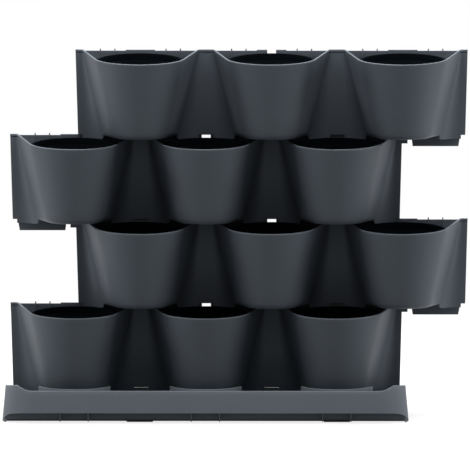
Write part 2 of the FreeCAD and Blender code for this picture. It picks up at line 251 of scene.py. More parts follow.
# Die-cut rubber pads: dull and close-grained.
BLACK_RUBBER = MouldedPlastic(
    "die_cut_black_rubber", "#1c1d1e", "#232425",
    roughness=0.85, gloss_change=0.04, grain_mm=1.2, grain_strength=0.25, cloud_mm=30.0, ior=1.52)


@dataclass
class Moulding:
    """One piece: collects its faces, told by x, u and h, and turns them into a mesh."""

    title: str = "moulding"

    def __post_init__(self) -> None:
        """Start with no faces."""
        self.work = bmesh.new()

    @staticmethod
    def point(x: float, u: float, h: float) -> Vector:
        """Place x, u, h in millimetres, as metres about the piece's own origin."""
        return Vector((x, -u, -h)) * MM

    def faces(self, points: Sequence[Spot], faces: Sequence[Sequence[int]]) -> None:
        """Add faces over points told by x, u and h.

        Args:
            points: the corners.
            faces: for each face, the numbers of its corners in order.
        """
        verts = [self.work.verts.new(self.point(*p)) for p in points]
        for face in faces:
            self.work.faces.new([verts[i] for i in face]).smooth = True

    def skin(self, rings: Sequence[Sequence[Spot]], capped: bool = True) -> None:
        """Add faces between closed rings of points, one ring to the next.

        Args:
            rings: rings with the same number of points each.
            capped: close the first and last rings; otherwise the last ring joins the first.
        """
        count = len(rings[0])
        points = [p for ring in rings for p in ring]
        faces = []
        for k in range(len(rings) - 1 if capped else len(rings)):
            here = k * count
            there = (k + 1) % len(rings) * count
            for i in range(count):
                j = (i + 1) % count
                faces.append((here + i, here + j, there + j, there + i))
        if capped:
            faces.append(tuple(range(count)))
            faces.append(tuple(range(len(points) - count, len(points))))
        self.faces(points, faces)

    def plate(self, plane: Plane, outline: Sequence[Flat], low: float, high: float, edge: float,
              holes: Sequence[Sequence[Flat]] = ()) -> None:
        """Add a flat plate with rounded edges.

        Args:
            plane: which way it faces.
            outline: its corners, along the plane's first two axes.
            low: where its thickness starts along the third axis.
            high: where its thickness ends.
            edge: radius of its edges.
            holes: outlines of the holes through it.
        """
        curve = bpy.data.curves.new("outline", "CURVE")
        curve.dimensions = "2D"
        curve.fill_mode = "BOTH"
        curve.extrude = (high - low) / 2 - edge
        curve.bevel_depth = edge
        curve.bevel_resolution = EDGE_STEPS
        curve.offset = -edge
        for loop in (outline, *holes):
            spline = curve.splines.new("POLY")
            spline.points.add(len(loop) - 1)
            spline.use_cyclic_u = True
            for spot, (a, b) in zip(spline.points, loop):
                spot.co = (a, b, 0, 1)
        carrier = bpy.data.objects.new("outline", curve)
        flat = bpy.data.meshes.new_from_object(carrier)
        middle = (low + high) / 2
        level = (high - low) / 2 - edge * FLAT_SHARE
        for face in flat.polygons:
            face.use_smooth = any(abs(flat.vertices[i].co.z) < level for i in face.vertices)
        for vert in flat.vertices:
            a, b, c = vert.co.x, vert.co.y, vert.co.z + middle
            spots = {Plane.UPRIGHT: (a, c, b), Plane.LEVEL: (a, b, c), Plane.END: (c, a, b)}
            vert.co = self.point(*spots[plane])
        self.work.from_mesh(flat)
        bpy.data.objects.remove(carrier)
        bpy.data.curves.remove(curve)
        bpy.data.meshes.remove(flat)

    def block(self, x: Flat, u: Flat, h: Flat, edge: float) -> None:
        """Add a plain block with rounded edges, from its reach along x, u and h."""
        self.plate(Plane.UPRIGHT, rectangle(x, h), u[0], u[1], edge)

    def turned(self, profile: Sequence[Flat], steps: int) -> None:
        """Add a solid of revolution about the piece's own upright axis.

        Args:
            profile: closed outline of radius and h.
            steps: divisions round the axis.
        """
        rings = []
        for i in range(steps):
            turn = 2 * math.pi * i / steps
            rings.append([(r * math.sin(turn), r * math.cos(turn), h) for r, h in profile])
        self.skin(rings, capped=False)

    def shape(self) -> None:
        """Add all the faces of the piece."""
        raise NotImplementedError

    def mesh(self) -> bpy.types.Mesh:
        """Shape the piece, close its mesh and set which edges stay sharp.

        Returns:
            The mesh.
        """
        self.shape()
        bmesh.ops.remove_doubles(self.work, verts=self.work.verts, dist=WELD * MM)
        bmesh.ops.recalc_face_normals(self.work, faces=self.work.faces)
        mesh = bpy.data.meshes.new(self.title)
        self.work.to_mesh(mesh)
        self.work.free()
        mesh.set_sharp_from_angle(angle=math.radians(SMOOTH_BELOW))
        return mesh


def stand(name: str, mesh: bpy.types.Mesh, place: Spot, finish: bpy.types.Material, slot: str,
          body: str, *nodes: str) -> None:
    """Put a finished mesh in the scene as one piece.

    Args:
        name: the piece's name.
        mesh: its mesh, about its own origin.
        place: where that origin goes, in millimetres.
        finish: its material.
        slot: the record's material slot; not used.
        body: the body that it rides on.
        nodes: the CAD nodes that it stands for.
    """
    piece = bpy.data.objects.new(name, mesh)
    bpy.context.scene.collection.objects.link(piece)
    piece.location = Vector(place) * MM
    if not mesh.materials:
        mesh.materials.append(finish)
    bpy.context.view_layer.update()
    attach(piece, body)
    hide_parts(*nodes)
    LOG.info("built %s", name)


@dataclass(frozen=True)
class Column:
    """One line down a row's front wall.

    share runs from 0 at the valley's middle or the row's end, or the near end of the stretch,
    to 1 at the end nearer to the cup's front. On the front it is the angle from straight ahead.
    """

    zone: Zone
    cup: float
    side: int
    share: float


@dataclass
class PlanterRow(Moulding):
    """One row moulding: three cups standing out of a thin panel, closed by a back panel."""

    title: str = "planter_row"
    width: float = 598.0
    end_draft: float = 3.8
    cup_radius: float = 70.3
    flank_flare: float = math.radians(13.0)
    crease_rim: float = 3.0         # the fillet's radius at the rim
    crease_growth: float = 0.215    # and its growth per millimetre down
    floor_front: float = 120.3
    floor_edge: float = 0.2
    foot_round: float = 8.0
    lip_foot: float = 138.0
    lip_notch: float = 22.4
    lip_skin: float = 0.03          # the lip's face lies this far behind the wall's
    lip_tuck: float = 1.6           # the lip ends this far above the seat beside a cup
    lip_sweep: int = 6              # how suddenly it rises to that end
    notch_roof: float = 1.5
    groove_span: Flat = (3.4, 1.8)  # drop below the rim, and height
    groove_depth: float = 2.0
    groove_corner: float = 0.05
    back_top: float = 3.5
    plate_width: float = 44.8
    plate_rise: float = 1.4
    plate_height: float = 34.0
    plate_proud: float = 0.8
    tooth_places: Flat = (39.0, 61.0)
    tooth_width: float = 1.8
    tooth_rise: float = 3.0
    tooth_rib: Flat = (1.2, 24.0)   # how far it stands out, and where it ends
    hose_notch: Flat = (13.4, 6.4)  # width and depth
    screw_hole: Flat = (2.75, 18.0)  # radius, and drop below the rim
    comb_reach: Flat = (12.4, 88.2)
    comb_lean: Flat = (2.6, 3.4)
    comb_drop: float = 19.4
    comb_gap: float = 0.6           # clear of the wall of the row below
    tongue: Flat = (14.6, 15.3)     # width, and drop below the seat
    seat_rib: Flat = (12.0, 36.0)   # from and to, out from the cup's axis
    rib_turns: Spot = (90.0, 210.0, 330.0)
    pot_base: float = 116.0
    edge: float = 0.4

    @property
    def cups(self) -> list[float]:
        """Centres of the cups along the row."""
        return [place.value * PITCH for place in Place]

    @property
    def floor_fall(self) -> float:
        """How far the cup floor rises forward per millimetre."""
        return (SEAT - self.floor_front) / (CUP_AXIS + self.radius(self.floor_front))

    def end_half(self, h: float) -> float:
        """Half width of the moulding at depth h."""
        return self.width / 2 - self.end_draft * h / self.lip_foot

    def panel_half(self, cup: float, side: int, h: float) -> float:
        """How far from a cup's centre the valley panel beside it ends at depth h."""
        outermost = cup * side > PITCH / 2
        return self.end_half(h) - abs(cup) if outermost else PITCH / 2

    def radius(self, h: float, inset: float = 0.0) -> float:
        """Radius of a cup's round front at depth h, drawn in by inset."""
        return self.cup_radius - inset - h * math.tan(CUP_TAPER)

    def corner(self, h: float, inset: float = 0.0) -> float:
        """Half width of a cup at depth h, drawn in by inset, where its flank would meet the panel."""
        r, lean = self.radius(h, inset), self.flank_flare
        return r * math.cos(lean) + (CUP_AXIS + r * math.sin(lean)) * math.tan(lean)

    def crease(self, h: float) -> float:
        """Radius of the fillet beside a cup at depth h."""
        return self.crease_rim + self.crease_growth * h

    def crease_run(self, h: float) -> float:
        """How far the fillet beside a cup reaches along the valley panel at depth h."""
        return self.crease(h) / math.tan(math.pi / 4 + self.flank_flare / 2)

    def plan(self, column: Column, h: float, inset: float) -> tuple[float, float, float, float]:
        """Where a column is at one depth.

        Args:
            column: the line down the wall.
            h: depth below the rim.
            inset: how far the cup's surface is drawn in.

        Returns:
            x, u and the wall's outward direction along x and u.
        """
        lean = self.flank_flare
        if column.zone is Zone.FLANK:
            inset *= column.share
        elif column.zone is not Zone.FRONT:
            inset = 0.0
        r = self.radius(h, inset)
        corner = self.corner(h, inset)
        run = self.crease_run(h)
        if column.zone is Zone.FRONT:
            across, ahead = math.sin(column.share), math.cos(column.share)
            return column.cup + r * across, CUP_AXIS + r * ahead, across, ahead
        if column.zone is Zone.FLAT:
            far = self.panel_half(column.cup, column.side, h)
            x, u, across, ahead = far + column.share * (corner + run - far), 0.0, 0.0, 1.0
        elif column.zone is Zone.CREASE:
            turn = QUARTER_TURN + column.share * (lean - QUARTER_TURN)
            across, ahead = math.cos(turn), math.sin(turn)
            x = corner + run - self.crease(h) * across
            u = self.crease(h) * (1 - ahead)
        else:
            across, ahead = math.cos(lean), math.sin(lean)
            near = (corner - run * math.sin(lean), run * math.cos(lean))
            tip = (r * across, CUP_AXIS + r * ahead)
            x = near[0] + column.share * (tip[0] - near[0])
            u = near[1] + column.share * (tip[1] - near[1])
        return column.cup + column.side * x, u, column.side * across, ahead

    def spot(self, column: Column, level: float, fall: float, inset: float, behind: float) -> Spot:
        """Point of the wall where a column meets a section plane.

        Args:
            column: the line down the wall.
            level: the plane's depth at the valley face.
            fall: how far the plane rises forward per millimetre.
            inset: how far the cup's surface is drawn in.
            behind: how far behind the outer surface the point lies.

        Returns:
            The point's x, u and h.
        """
        rounds = 4  # h and u depend on each other, and these rounds settle them
        h = level
        for _ in range(rounds):
            x, u, across, ahead = self.plan(column, h, inset)
            h = level - fall * u
        return x - behind * across, u - behind * ahead, h

    def grooved(self, column: Column, point: Spot) -> Spot:
        """Press a point of the outer face into the groove below a saddle, where it lies in it.

        Args:
            column: the line down the wall that the point is on.
            point: the point's x, u and h.

        Returns:
            The point, or its place on the groove's floor.
        """
        x, u, h = point
        drop, height = self.groove_span
        margin = self.groove_corner / 2
        near_panel = column.zone in (Zone.FLAT, Zone.CREASE) and u < WALL
        if near_panel and drop + margin < h < drop + height - margin:
            return x, -self.groove_depth, h
        return point

    def columns(self) -> list[Column]:
        """List the columns of the front wall from the row's left end to its right end.

        Returns:
            The columns in order.
        """
        half_turn = QUARTER_TURN - self.flank_flare
        flat_steps = 4
        crease_steps = 10
        flank_steps = 5
        front_steps = 36
        out: list[Column] = []
        for cup in self.cups:
            left = [Column(Zone.FLAT, cup, -1, i / flat_steps) for i in range(flat_steps)]
            left += [Column(Zone.CREASE, cup, -1, i / crease_steps) for i in range(crease_steps + 1)]
            left += [Column(Zone.FLANK, cup, -1, i / flank_steps) for i in range(1, flank_steps)]
            front = [Column(Zone.FRONT, cup, 1, half_turn * (2 * i / front_steps - 1))
                     for i in range(front_steps + 1)]
            right = [Column(c.zone, cup, 1, c.share) for c in reversed(left)]
            if out:
                left = left[1:]
            out += left + front + right
        return out

    def levels(self, behind: float) -> list[Spot]:
        """List the section planes of one face of the wall from the rim's round to the floor.

        Args:
            behind: 0 for the outer face, or the wall's thickness for the inner face.

        Returns:
            Level, fall and inset of each plane.
        """
        wall_steps = 8
        round_steps = 6
        radius = self.foot_round - behind
        floor = SEAT - behind
        start = WALL / 2
        tall = floor - radius - start
        depths = [start + tall * i / wall_steps for i in range(wall_steps + 1)]
        if behind == 0.0:
            top, foot = self.groove_span[0], sum(self.groove_span)
            depths += [top, top + self.groove_corner, foot - self.groove_corner, foot]
        out = []
        for depth in sorted(depths):
            out.append((depth, (depth - start) / tall * self.floor_fall, 0.0))
        for i in range(1, round_steps + 1):
            turn = QUARTER_TURN * i / round_steps
            level = floor - radius * (1 - math.sin(turn))
            out.append((level, self.floor_fall, radius * (1 - math.cos(turn))))
        return out

    def wall_line(self, column: Column) -> list[Spot]:
        """List the points down one column: up the outer face, over the round rim, down the inner face.

        Args:
            column: the line down the wall.

        Returns:
            The points in order.
        """
        rim_steps = 6
        half = WALL / 2
        outside = [self.spot(column, *level, 0.0) for level in reversed(self.levels(0.0))]
        line = [self.grooved(column, point) for point in outside]
        for i in range(1, rim_steps):
            turn = math.pi * i / rim_steps
            x, u, h = self.spot(column, half, 0.0, 0.0, half * (1 - math.cos(turn)))
            line.append((x, u, h - half * math.sin(turn)))
        line += [self.spot(column, *level, WALL) for level in self.levels(WALL)]
        return line

    def front_wall(self) -> None:
        """Add the valley panels and cups as one closed wall with a round rim."""
        columns = self.columns()
        lines = [self.wall_line(column) for column in columns]
        tall = len(lines[0])
        last = (len(columns) - 1) * tall
        faces = []
        for c in range(0, last, tall):
            for r in range(c, c + tall - 1):
                faces.append((r, r + tall, r + tall + 1, r + 1))
        faces.append(tuple(range(tall)))
        faces.append(tuple(range(last, last + tall)))
        for cup in self.cups:
            mine = [i for i, c in enumerate(columns) if c.cup == cup and c.zone is not Zone.FLAT]
            for row in (0, tall - 1):
                loop = [i * tall + row for i in mine]
                for i in range(len(loop) // 2):
                    face = (loop[i], loop[i + 1], loop[-2 - i], loop[-1 - i])
                    faces.append(tuple(dict.fromkeys(face)))
        faces = [f for f in faces if len(f) > 2]
        panel = [i for i, c in enumerate(columns)
                 if c.zone is Zone.FLAT or (c.zone is Zone.CREASE and c.share == 0)]
        for a, b in zip(panel, panel[1:]):
            faces.append((a * tall, b * tall, (b + 1) * tall - 1, (a + 1) * tall - 1))
        self.faces([point for line in lines for point in line], faces)

    def skirt(self, cup: float, side: int) -> None:
        """Add the lip on one side of a cup: the panel and its fillet, run on below the seat.

        Args:
            cup: the cup's centre along the row.
            side: -1 for its left side, 1 for its right side.
        """
        steps = 12
        far = self.panel_half(cup, side, SEAT)
        reach = self.corner(SEAT) + self.crease_run(SEAT)
        start = (far - PITCH / 2 + self.lip_notch / 2) / (far - reach)
        columns = [Column(Zone.FLAT, cup, side, start)]
        columns += [Column(Zone.CREASE, cup, side, i / steps) for i in range(steps + 1)]
        root = SEAT - WALL
        rings = []
        for column in columns:
            rise = column.share ** self.lip_sweep if column.zone is Zone.CREASE else 0.0
            foot = self.lip_foot - (self.lip_foot - SEAT + self.lip_tuck) * rise
            ring = [(root, self.lip_skin), (foot - self.edge, self.lip_skin), (foot, self.edge),
                    (foot, WALL - self.edge), (foot - self.edge, WALL), (root, WALL)]
            rings.append([self.spot(column, h, 0.0, 0.0, behind) for h, behind in ring])
        self.skin(rings)

    def lips(self) -> None:
        """Add the lips that run on below the seat, each pair with a shallow notch between them."""
        half = self.lip_notch / 2 + self.edge
        ends = self.end_half(self.lip_foot)
        span = (SEAT - WALL, SEAT + self.notch_roof)
        for cup in self.cups:
            self.skirt(cup, -1)
            self.skirt(cup, 1)
        for middle in [x - PITCH / 2 for x in self.cups] + [self.cups[-1] + PITCH / 2]:
            outline = rectangle((max(middle - half, -ends), min(middle + half, ends)), span)
            self.plate(Plane.UPRIGHT, outline, 2 * HAIR - WALL, -2 * HAIR, self.edge)

    def notch(self, top: float) -> list[Flat]:
        """Corners, from left to right, of the hose notch in the middle of an edge at depth top."""
        half, foot = self.hose_notch[0] / 2, top + self.hose_notch[1]
        return [(-half, top), (-half, foot), (half, foot), (half, top)]

    def back_outline(self) -> list[Flat]:
        """Outline of the back panel with its hanger plates, locating teeth and hose notch.

        Returns:
            Corners by x and h, round the panel.
        """
        bumps: list[Spot] = []
        for x in self.cups:
            bumps.append((x - self.plate_width / 2, x + self.plate_width / 2, self.plate_rise))
            for place in self.tooth_places:
                for middle in (x - place, x + place):
                    bumps.append((middle - self.tooth_width / 2, middle + self.tooth_width / 2,
                                  self.tooth_rise))
        outline = [(-self.end_half(self.back_top), self.back_top)]
        for low, high, rise in sorted(bumps):
            top = self.back_top - rise
            outline += [(low, self.back_top), (low, top)]
            if low < 0 < high:
                outline += self.notch(top)
            outline += [(high, top), (high, self.back_top)]
        outline.append((self.end_half(self.back_top), self.back_top))
        outline.append((self.end_half(SEAT), SEAT))
        outline.append((-self.end_half(SEAT), SEAT))
        return outline

    def round_hole(self, x: float) -> list[Flat]:
        """Outline of a screw hole behind the cup at x."""
        radius, drop = self.screw_hole
        return circle((x, drop), radius, HOLE_STEPS)

    def back(self) -> None:
        """Add the back panel, its hanger plates and the ribs below its teeth."""
        outer = [self.cups[0], self.cups[-1]]
        inside = WALL - BACK_DEPTH
        sunk = inside - WALL / 2
        holes = [self.round_hole(x) for x in outer]
        self.plate(Plane.UPRIGHT, self.back_outline(), -BACK_DEPTH, inside, self.edge, holes)
        half = self.plate_width / 2
        top = self.back_top - self.plate_rise
        proud, rib_foot = self.tooth_rib
        rib_span = (self.back_top + self.edge, self.back_top + rib_foot)
        for x in self.cups:
            outline = rectangle((x - half, x + half), (top, top + self.plate_height))
            holes = [self.round_hole(x)] if x in outer else []
            if x not in outer:
                outline[1:1] = self.notch(top)
            self.plate(Plane.UPRIGHT, outline, sunk, inside + self.plate_proud, self.edge, holes)
            for place in self.tooth_places:
                for left in (x - place - self.tooth_width / 2, x + place - self.tooth_width / 2):
                    self.block((left, left + self.tooth_width), (sunk, inside + proud), rib_span, self.edge)

    def channel(self) -> None:
        """Add the floor and the two ends of the channel between the valleys and the back panel."""
        front = -WALL / 2
        sunk = WALL / 2 - BACK_DEPTH
        ends = self.end_half(SEAT)
        floor = rectangle((-ends, ends), (2 * HAIR - BACK_DEPTH, -2 * HAIR))
        self.plate(Plane.LEVEL, floor, SEAT - WALL, SEAT - HAIR, self.floor_edge)
        for side in (-1, 1):
            rings = []
            for h in (self.comb_drop + WALL, SEAT):
                far = side * self.end_half(h)
                near = far - side * WALL
                rings.append([(far, front, h), (near, front, h), (near, sunk, h), (far, sunk, h)])
            self.skin(rings)

    def combs(self) -> None:
        """Add the comb plates and tongues that hang into the channel of the row below."""
        front = -WALL - self.comb_gap
        rear = front - WALL
        top = SEAT - WALL / 2
        foot = SEAT + self.comb_drop
        near, far = self.comb_reach
        near_lean, far_lean = self.comb_lean
        half = self.tongue[0] / 2
        for x in self.cups:
            for side in (-1, 1):
                outline = [(x + side * near, top), (x + side * far, top),
                           (x + side * (far - far_lean), foot), (x + side * (near + near_lean), foot)]
                self.plate(Plane.UPRIGHT, outline, rear, front, self.edge)
            self.block((x - half, x + half), (rear, front), (top, SEAT + self.tongue[1]), self.edge)

    def seat_ribs(self) -> None:
        """Add the three ribs on each cup's floor that the inner pot stands on."""
        half = WALL / 2
        for cup in self.cups:
            for degrees in self.rib_turns:
                across, ahead = math.cos(math.radians(degrees)), math.sin(math.radians(degrees))
                rings = []
                for aside in (-half, half):
                    ends = [(cup + r * across - aside * ahead, CUP_AXIS - r * ahead - aside * across)
                            for r in self.seat_rib]
                    feet = [(x, u, SEAT - half - self.floor_fall * u) for x, u in ends]
                    rings.append([(x, u, self.pot_base) for x, u in ends] + feet[::-1])
                self.skin(rings)

    def shape(self) -> None:
        """Add the whole moulding, rim at height 0 and valley face at depth 0."""
        self.front_wall()
        self.lips()
        self.back()
        self.channel()
        self.combs()
        self.seat_ribs()


@dataclass
class InnerPot(Moulding):
    """Round thin-walled pot with a lip and a stacking step, its rim at height 0."""

    title: str = "inner_pot"
    rim_radius: float = 65.9
    wall: float = 1.4
    lip_height: float = 5.0
    lip_proud: float = 1.2
    lip_ease: float = 0.3
    step_drop: float = 10.5
    step: float = 2.6
    depth: float = 111.6
    foot_radius: float = 40.99
    foot_land: float = 2.0
    foot_ease: float = 1.0
    ease: float = 0.6
    ease_bow: Flat = (0.2, 0.15)    # middle of an eased edge, in from its two faces
    hole: Flat = (4.0, 27.0)        # radius, and how far from the axis
    holes: int = 3
    floor_inset: float = 1.2
    floor_edge: float = 0.2
    steps: int = 96

    def profile(self) -> list[Flat]:
        """Closed outline of the wall by radius and depth.

        Returns:
            Outline points, outside first.
        """
        draft = math.tan(CUP_TAPER)
        lip_foot = self.rim_radius - self.lip_height * draft
        neck = lip_foot - self.lip_proud
        shoulder = neck - self.step_drop * draft / 2
        inner_neck = neck - self.wall
        inner_foot = self.foot_radius - self.wall
        inner_base = self.depth - self.wall
        inner_drop = self.step_drop - self.wall / 2
        bow, dip = self.ease_bow
        outside = [(self.foot_radius - self.foot_land, self.depth),
                   (self.foot_radius - self.ease, self.depth - dip),
                   (self.foot_radius, self.depth - self.foot_ease),
                   (shoulder - self.step, self.step_drop + self.step), (shoulder, self.step_drop),
                   (neck, self.lip_height), (lip_foot - self.lip_ease, self.lip_height),
                   (lip_foot, self.lip_height - self.lip_ease), (self.rim_radius, self.ease),
                   (self.rim_radius - bow, dip), (self.rim_radius - self.ease, 0.0)]
        inside = [(inner_neck + self.ease, 0.0), (inner_neck + dip, bow), (inner_neck, self.ease),
                  (shoulder - self.wall, inner_drop),
                  (shoulder - self.step - self.wall, inner_drop + self.step),
                  (inner_foot, inner_base - self.foot_ease), (inner_foot - self.foot_ease, inner_base)]
        return outside + inside

    def shape(self) -> None:
        """Add the pot and its floor with the drain holes."""
        self.turned(self.profile(), self.steps)
        radius, ring = self.hole
        base = self.foot_radius - self.wall / 2 - self.floor_inset
        outline = circle((0.0, 0.0), base, self.steps)
        holes = [circle(middle, radius, HOLE_STEPS) for middle in circle((0.0, 0.0), ring, self.holes)]
        self.plate(Plane.LEVEL, outline, self.depth - self.wall + HAIR, self.depth - HAIR,
                   self.floor_edge, holes)


@dataclass
class DripTray(Moulding):
    """Trough with a flared front, ears at its ends, collars for the cups and posts for the stack."""

    title: str = "drip_tray"
    back: float = -BACK_DEPTH
    half_top: float = 305.0
    splay: float = 4.5
    front: float = 147.0
    lean: float = 3.0
    corner: Flat = (46.0, 28.0)     # along the front, and along the end
    ear_fall: float = 0.17
    back_taper: float = 4.0
    top: float = 111.0
    ear_rise: float = 9.3
    ear_length: float = 14.5
    ear_sweep: float = 24.0
    ear_bow: float = 1.6
    back_top: float = 134.0
    fascia_foot: float = 145.0
    foot_width: float = 6.0
    foot_sweep: float = 43.0
    foot_bow: Flat = (0.24, 0.76)   # shares of a slow and a sudden sweep
    foot_powers: Flat = (2, 10)     # and how sudden each is
    foot_plate: Flat = (4.0, 0.5)   # the plate inside a foot stops this far short, at its top and foot
    foot_lift: float = 0.02
    sunk: float = 1.0               # shelf and feet stop this far inside the outer face
    gusset: Flat = (21.5, 2.0)      # how far beside a cup's middle, and thickness
    gusset_back: float = 0.6
    gusset_root: float = 1.0
    gusset_knee: Flat = (2.0, 6.0)
    collar: Flat = (60.7, 50.0)     # half width, and reach forward of the cup's axis
    collar_top: float = 113.0
    collar_turn: float = math.radians(65.0)
    post_width: float = 21.0
    post_rib: float = 14.0
    fine_edge: float = 0.3
    plain_edge: float = 0.5
    floor_edge: float = 0.55
    plinth_edge: float = 0.6
    soft_edge: float = 0.8

    @property
    def kick_half(self) -> float:
        """Half length of the recess under the fascia."""
        return self.half_top + self.splay - self.foot_width

    def half(self, h: float) -> float:
        """Half length of the tray at depth h."""
        return self.half_top + self.splay * (h - self.top) / (FLOOR - self.top)

    def reach(self, h: float) -> float:
        """How far forward the fascia stands at depth h."""
        return self.front + self.lean * (h - self.top) / (self.fascia_foot - self.top)

    def plan(self, turn: float, share: float, h: float, inset: float) -> Flat:
        """Point of the tray's outline, on its right half, at one depth.

        Args:
            turn: angle round the front corner, from the end at 0 to the front at a quarter turn.
            share: on the end, how far towards the back, and on the front, how far towards the middle.
            h: depth below the bottom row's rim.
            inset: how far inside the outer face.

        Returns:
            x and u.
        """
        long, deep = self.corner
        x = self.half(h) - long + (long - inset) * math.cos(turn)
        u = self.reach(h) - deep + (deep - inset) * math.sin(turn)
        if turn == 0.0:
            u += share * (self.back + WALL - u)
            x -= share * self.back_taper
        else:
            x -= share * x
        return x, u

    def top_edge(self, x: float, u: float) -> float:
        """Depth of the tray's top edge, which sweeps up to an ear and falls to the back.

        Args:
            x: distance along the tray from its middle.
            u: distance forward of the valley face.

        Returns:
            The edge's depth.
        """
        share = ramp(abs(x), self.half_top - self.ear_length, self.ear_sweep)
        ear = self.top - self.ear_rise * share ** self.ear_bow
        ear_top = self.top - self.ear_rise
        knee = self.front - self.corner[1]
        side_top = ear_top + self.ear_fall * min(self.front + self.lean - u, self.corner[1])
        if u < knee:
            side_top += (self.back_top - side_top) * (knee - u) / (knee - 2 * self.back)
        return max(ear, side_top)

    def foot_edge(self, x: float) -> float:
        """Depth of the fascia's foot at x along the tray: it sweeps down to the floor at each end."""
        share = ramp(abs(x), self.half(self.fascia_foot), self.foot_sweep)
        return self.fascia_foot + (FLOOR - self.fascia_foot) * sum(
            part * share ** power for part, power in zip(self.foot_bow, self.foot_powers))

    def stations(self) -> list[Spot]:
        """List the wall's upright lines on the right half, from the back to the front's middle.

        Returns:
            Turn, share and the depth of the outer face's foot for each line.
        """
        end_steps = 10
        corner_steps = 30
        front_steps = 6
        out = [(0.0, 1 - i / end_steps, FLOOR) for i in range(end_steps + 1)]
        for i in range(1, corner_steps + 1):
            turn = QUARTER_TURN * i / corner_steps
            out.append((turn, 0.0, self.foot_edge(self.plan(turn, 0.0, self.fascia_foot, 0.0)[0])))
        out += [(QUARTER_TURN, i / front_steps, self.fascia_foot) for i in range(1, front_steps + 1)]
        return out

    def shell(self) -> None:
        """Add the fascia and the two ends as one closed wall with a round top edge."""
        half = self.stations()
        whole = [(s, 1) for s in half] + [(s, -1) for s in reversed(half[:-1])]
        wall_steps = 5
        round_steps = 6
        radius = WALL / 2
        rings = []
        for (turn, share, foot), side in whole:
            edge = self.top_edge(*self.plan(turn, share, self.top, 0.0))
            crown = edge + radius
            inner_foot = foot - WALL
            if foot == FLOOR:
                inner_foot -= FLOOR - PLINTH_FOOT
            line = [(foot + (crown - foot) * i / wall_steps, 0.0) for i in range(wall_steps + 1)]
            for i in range(1, round_steps):
                bend = math.pi * i / round_steps
                line.append((edge + radius * (1 - math.sin(bend)), radius * (1 - math.cos(bend))))
            inner = inner_foot - crown
            line += [(crown + inner * i / wall_steps, WALL) for i in range(wall_steps + 1)]
            ring = []
            for h, inset in line:
                x, u = self.plan(turn, share, h, inset)
                ring.append((side * x, u, h))
            rings.append(ring)
        self.skin(rings)

    def inside_curve(self, h: float) -> list[Flat]:
        """Outline inside the wall at depth h, from the right end of the back to the front's middle."""
        return [self.plan(turn, share, h, self.sunk) for turn, share, _ in self.stations()]

    def pan(self) -> None:
        """Add the floor, the plinth, the shelf behind the fascia, the end feet and the back wall."""
        kick = self.kick_half
        plinth = PLINTH_FRONT - WALL
        shelf_top = self.fascia_foot - WALL
        floor_top = PLINTH_FOOT - WALL
        rear = self.back + 2 * HAIR
        self.plate(Plane.LEVEL, rectangle((-kick, kick), (rear, PLINTH_FRONT)), floor_top,
                   PLINTH_FOOT, self.floor_edge)
        self.block((-kick, kick), (plinth, PLINTH_FRONT), (shelf_top, PLINTH_FOOT - HAIR),
                   self.plinth_edge)
        curve = [(x, u) for x, u in self.inside_curve(self.fascia_foot) if x < kick and u > plinth]
        shelf = [(kick, plinth), *curve, *[(-x, u) for x, u in reversed(curve)], (-kick, plinth)]
        self.plate(Plane.LEVEL, shelf, shelf_top, self.fascia_foot - HAIR, self.fine_edge)
        curve = [(x, max(u, rear)) for x, u in self.inside_curve(PLINTH_FOOT) if x > kick]
        tip = max(u for _, u in curve)
        heel = plinth - 2 * WALL
        sole = FLOOR - 2 * HAIR
        high_short, low_short = self.foot_plate
        upright = [(heel, shelf_top), (tip - high_short, shelf_top), (tip - low_short, sole), (heel, sole)]
        for side in (-1, 1):
            foot = [(side * x, u) for x, u in [(kick, rear), *curve, (kick, tip)]]
            self.plate(Plane.LEVEL, foot, floor_top, FLOOR - self.foot_lift, self.plain_edge)
            low, high = sorted((side * kick, side * (kick + WALL)))
            self.plate(Plane.END, upright, low, high, self.plain_edge)
        ends = self.half(PLINTH_FOOT) - WALL / 2 - self.back_taper
        self.plate(Plane.UPRIGHT, rectangle((-ends, ends), (self.back_top, PLINTH_FOOT)), self.back,
                   self.back + WALL, self.soft_edge)

    def collar_outline(self, x: float) -> list[Flat]:
        """Outline of the collar in front of the cup at x.

        Args:
            x: the cup's middle.

        Returns:
            Points by x and u, along the outside and back along the inside.
        """
        steps = 40
        turns = [self.collar_turn * (2 * i / steps - 1) for i in range(steps + 1)]
        outline = []
        for inset, way in ((0.0, turns), (WALL, turns[::-1])):
            wide, ahead = self.collar[0] - inset, self.collar[1] - inset
            outline += [(x + wide * math.sin(t), CUP_AXIS + ahead * math.cos(t)) for t in way]
        return outline

    def gusset_outline(self) -> list[Flat]:
        """Outline of a gusset under the fascia.

        Returns:
            Corners by u and h.
        """
        inside = PLINTH_FRONT - WALL / 2
        lip = self.reach(self.fascia_foot) - self.gusset_back
        root = self.fascia_foot - self.gusset_root
        back, drop = self.gusset_knee
        return [(inside, root), (lip, root), (lip - back, self.fascia_foot + drop),
                (PLINTH_FRONT + 2 * WALL, PLINTH_FOOT), (inside, PLINTH_FOOT)]

    def supports(self) -> None:
        """Add the collars, the posts with their ribs, and the gussets under the fascia."""
        deep = PLINTH_FOOT - WALL / 2
        span = (SEAT, deep)
        half = self.post_width / 2
        rib = WALL / 2
        aside, thick = self.gusset
        for place in Place:
            x = place.value * PITCH
            self.plate(Plane.LEVEL, self.collar_outline(x), self.collar_top, deep, self.soft_edge)
            self.block((x - half, x + half), (-WALL, rib), span, self.plain_edge)
            self.block((x - rib, x + rib), (0.0, self.post_rib), span, self.plain_edge)
            for side in (-1, 1):
                low = x + side * aside - thick / 2
                self.plate(Plane.END, self.gusset_outline(), low, low + thick, self.fine_edge)

    def shape(self) -> None:
        """Add the tray about the bottom row's rim."""
        self.shell()
        self.pan()
        self.supports()


